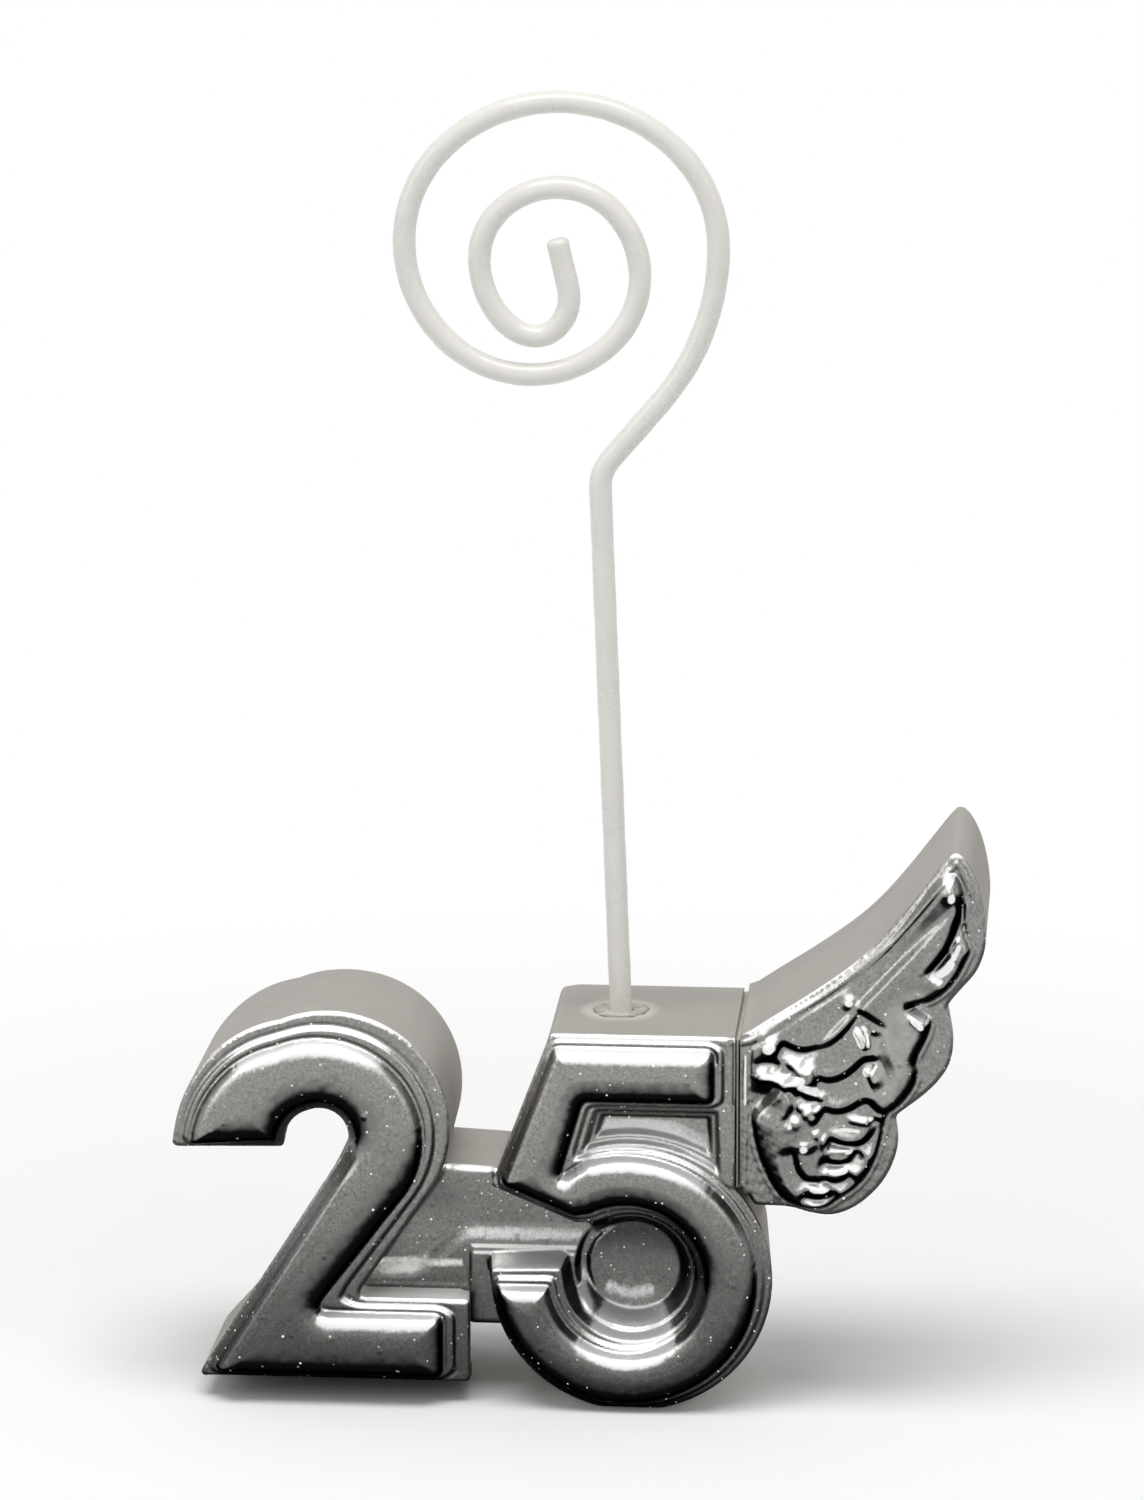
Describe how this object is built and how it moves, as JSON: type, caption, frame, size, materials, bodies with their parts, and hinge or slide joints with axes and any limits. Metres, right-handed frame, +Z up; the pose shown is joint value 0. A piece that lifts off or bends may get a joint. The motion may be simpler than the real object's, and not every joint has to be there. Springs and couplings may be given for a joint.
{
  "type": "place card holder",
  "caption": "Place card holder: cast silver numerals side by side with a feathered wing on one flank, and a white wire stem bent into a flat spiral that grips a card.",
  "frame": {"origin": "on the table under the wire's foot, on the flat that the bowl of the figure 5 stands on, at half the depth of the castings", "axes": "+Z up along the wire's stem, +Y from the face of the figures to their flat back, +X to the right along the row of figures as they are read"},
  "size_m": [0.0593, 0.0148, 0.0966],
  "materials": {
    "silver_cast": "satin silver paint with a fine sparkle, over cast resin",
    "white_enamel": "glossy white enamel on steel wire",
    "cured_glue": "dull, cured"
  },
  "bodies": {
    "root": {"numeral_two": "silver_cast", "numeral_five": "silver_cast", "joining_web": "silver_cast", "wing": "silver_cast", "wing_glue_line": "cured_glue", "wire_clip": "white_enamel", "socket_glue": "cured_glue"}
  },
  "joints": []
}
